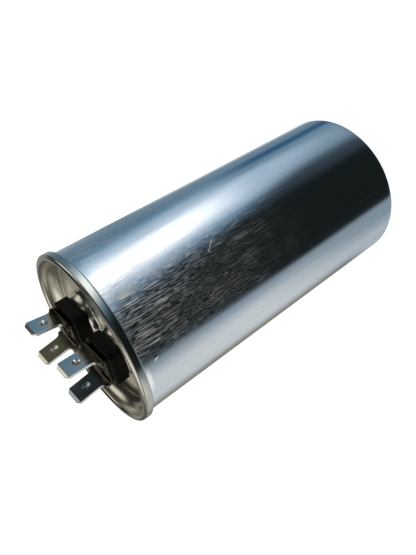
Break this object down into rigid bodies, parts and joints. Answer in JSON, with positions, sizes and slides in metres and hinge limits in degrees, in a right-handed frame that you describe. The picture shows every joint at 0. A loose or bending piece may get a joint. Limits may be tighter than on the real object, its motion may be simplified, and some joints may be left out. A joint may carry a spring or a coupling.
{
  "type": "motor-run capacitor",
  "caption": "Round drawn can with a seamed lid whose recess holds insulated terminals with push-on tabs; it stores charge to run an AC motor.",
  "frame": {"origin": "centre of the can's closed end", "axes": "+Z along the can to the terminals, +X along the line from terminal b to terminal a"},
  "size_m": [0.0522, 0.0522, 0.1142],
  "materials": {
    "can_aluminium": "drawn, with fine streaks along the can",
    "lid_tinplate": "bright tinplate, smooth",
    "insulator_black": "moulded, satin",
    "seal_rubber": "matt",
    "washer_board": "pressed board, matt",
    "terminal_tinned": "tinned brass, finely rolled",
    "rivet_tinned": "tinned, smooth"
  },
  "bodies": {
    "root": {"can": "can_aluminium", "lid": "lid_tinplate", "insulator_a": "insulator_black", "insulator_b": "insulator_black", "seal_a": "seal_rubber", "seal_b": "seal_rubber", "washer_a": "washer_board", "washer_b": "washer_board", "terminal_a": "terminal_tinned", "terminal_b": "terminal_tinned", "rivet_a": "rivet_tinned", "rivet_b": "rivet_tinned"}
  },
  "joints": []
}
